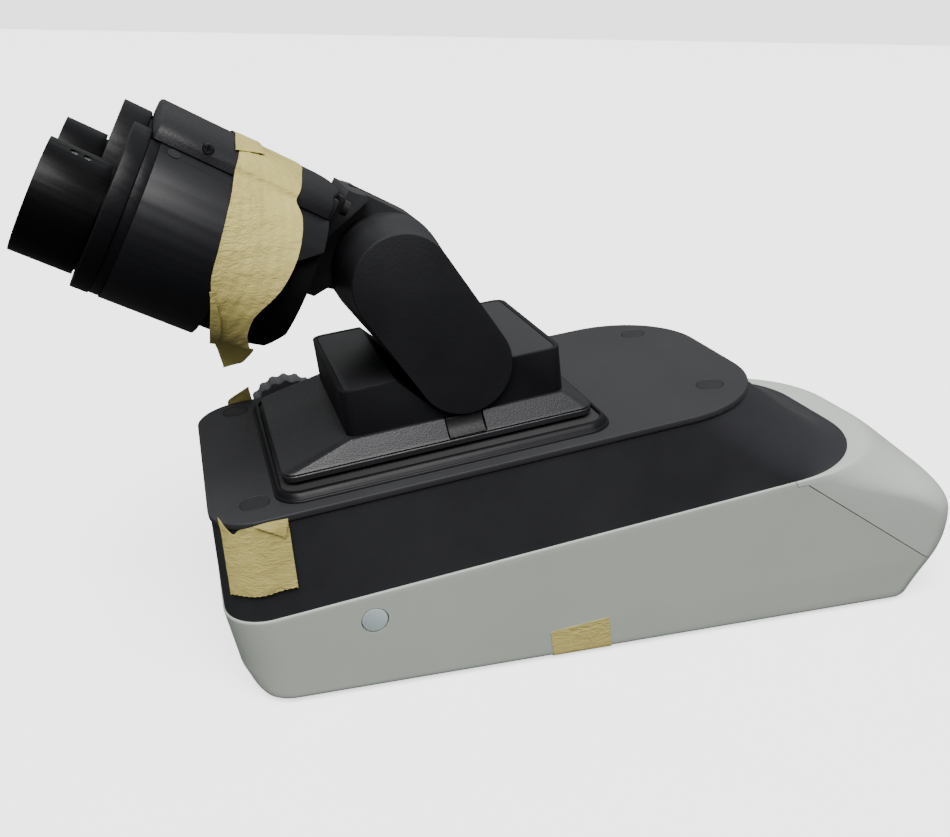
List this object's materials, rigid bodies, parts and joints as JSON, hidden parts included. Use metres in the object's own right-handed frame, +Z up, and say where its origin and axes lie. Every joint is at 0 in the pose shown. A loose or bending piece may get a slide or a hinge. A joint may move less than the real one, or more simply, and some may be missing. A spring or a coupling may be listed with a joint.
{
  "type": "tabletop binocular refraction head",
  "caption": "Wedge console carrying a tilting arm and a twin-barrel binocular head with eyepiece hoods, for eye refraction.",
  "frame": {"origin": "centre of the bounding box's footprint at the level of the rubber feet's underside", "axes": "+Z up, +X from the hoods to the rear cap, -Y the near side with the round button, +Y the side with the fluted knob"},
  "size_m": [0.3512, 0.1244, 0.1971],
  "materials": {
    "tub_grey": "fine moulded texture",
    "cap_grey": "fine moulded texture",
    "cover_black": "satin moulded",
    "plate_black": "satin moulded",
    "plug_black": "satin",
    "steel": "turned",
    "rubber": "matte",
    "collar_black": "semi gloss",
    "frame_alloy": "machined",
    "ballast_iron": "cast",
    "board_green": "solder mask",
    "module_grey": "folded sheet",
    "inlet_black": "moulded",
    "bush_brass": "turned",
    "button_grey": "satin translucent",
    "knob_black": "fluted satin",
    "skirt_black": "fine leather grain",
    "block_black": "satin",
    "block_cap": "satin",
    "tab_black": "satin",
    "arm_black": "satin",
    "arm_cover": "fine spark texture",
    "neck_black": "satin",
    "saddle_black": "fine wrinkle texture",
    "screw_black": "blackened",
    "barrel_black": "smooth satin",
    "ring_black": "fine wrinkle texture",
    "rear_black": "matte",
    "hood_black": "anodised satin",
    "lens_glass": "polished",
    "tape": "crepe paper masking tape"
  },
  "bodies": {
    "base": {"base_tub": "tub_grey", "rear_cap": "cap_grey", "top_cover": "cover_black", "top_plate": "plate_black", "plate_plugs": "plug_black", "plate_screws": "steel", "rubber_feet": "rubber", "bottom_screws": "steel", "collar": "collar_black", "moat_gasket": "rubber", "lift_guide": "frame_alloy", "ballast_plate": "ballast_iron", "control_board": "board_green", "board_standoffs": "steel", "power_module": "module_grey", "power_inlet": "inlet_black", "knob_bush": "bush_brass", "button_switch": "inlet_black", "front_tape": "tape", "bottom_tape": "tape", "corner_tape": "tape"},
    "button": {"power_button": "button_grey"},
    "knob": {"side_knob": "knob_black", "knob_shaft": "steel", "pinion": "bush_brass"},
    "lift": {"pedestal": "skirt_black", "lift_rods": "steel", "lift_rack": "steel", "pivot_block": "block_black", "block_caps": "block_cap", "lock_tab": "tab_black", "lower_shaft": "steel"},
    "arm": {"arm_frame": "arm_black", "arm_covers": "arm_cover", "arm_bushes": "bush_brass"},
    "head": {"neck": "neck_black", "neck_screws": "steel", "saddle": "saddle_black", "saddle_screws": "screw_black", "pupil_rails": "steel", "upper_shaft": "steel"},
    "barrel_near": {"near_barrel": "barrel_black", "near_plug": "plug_black", "near_ring": "ring_black", "near_band": "ring_black", "near_rear_body": "rear_black", "near_optics": "hood_black", "head_tape": "tape"},
    "barrel_far": {"far_barrel": "barrel_black", "far_plug": "plug_black", "far_ring": "ring_black", "far_band": "ring_black", "far_rear_body": "rear_black", "far_optics": "hood_black"},
    "eyepiece_near": {"near_hood": "hood_black", "hood_screws_near": "steel", "near_lens": "lens_glass"},
    "eyepiece_far": {"far_hood": "hood_black", "hood_screws_far": "steel", "far_lens": "lens_glass"}
  },
  "joints": [
    {"name": "lift_slide", "type": "slide", "parent": "base", "child": "lift", "axis": [-0.1374, 0, 0.9905], "range_m": [0, 0.012]},
    {"name": "knob_turn", "type": "hinge", "parent": "base", "child": "knob", "pos_m": [-0.08822, 0.06021, 0.06457], "axis": [0, -1, 0], "range_deg": [0, 91.72]},
    {"name": "button_press", "type": "slide", "parent": "base", "child": "button", "axis": [0, 1, 0], "range_m": [0, 0.0008], "stiffness_N_per_m": 900, "springref_m": -0.0003},
    {"name": "arm_tilt", "type": "hinge", "parent": "lift", "child": "arm", "pos_m": [-0.0373, -0.00479, 0.11383], "axis": [0, -1, 0], "range_deg": [-25, 12.5]},
    {"name": "head_tilt", "type": "hinge", "parent": "arm", "child": "head", "pos_m": [-0.05872, -0.00479, 0.14364], "axis": [0, -1, 0], "range_deg": [-30, 12]},
    {"name": "pupil_near", "type": "slide", "parent": "head", "child": "barrel_near", "axis": [0, -1, 0], "range_m": [-0.0035, 0.005], "deforming": ["head_tape"]},
    {"name": "pupil_far", "type": "slide", "parent": "head", "child": "barrel_far", "axis": [0, 1, 0], "range_m": [-0.0035, 0.005]},
    {"name": "focus_near", "type": "hinge", "parent": "barrel_near", "child": "eyepiece_near", "pos_m": [-0.15811, -0.03579, 0.17088], "axis": [-0.8926, 0, 0.4509], "range_deg": [-60, 60]},
    {"name": "focus_far", "type": "hinge", "parent": "barrel_far", "child": "eyepiece_far", "pos_m": [-0.15811, 0.02621, 0.17088], "axis": [-0.8926, 0, 0.4509], "range_deg": [-60, 60]}
  ],
  "couplings": [
    {"joint": "knob_turn", "follows": "lift_slide", "rad_per_m": 133.33},
    {"joint": "pupil_far", "follows": "pupil_near", "ratio": 1}
  ]
}
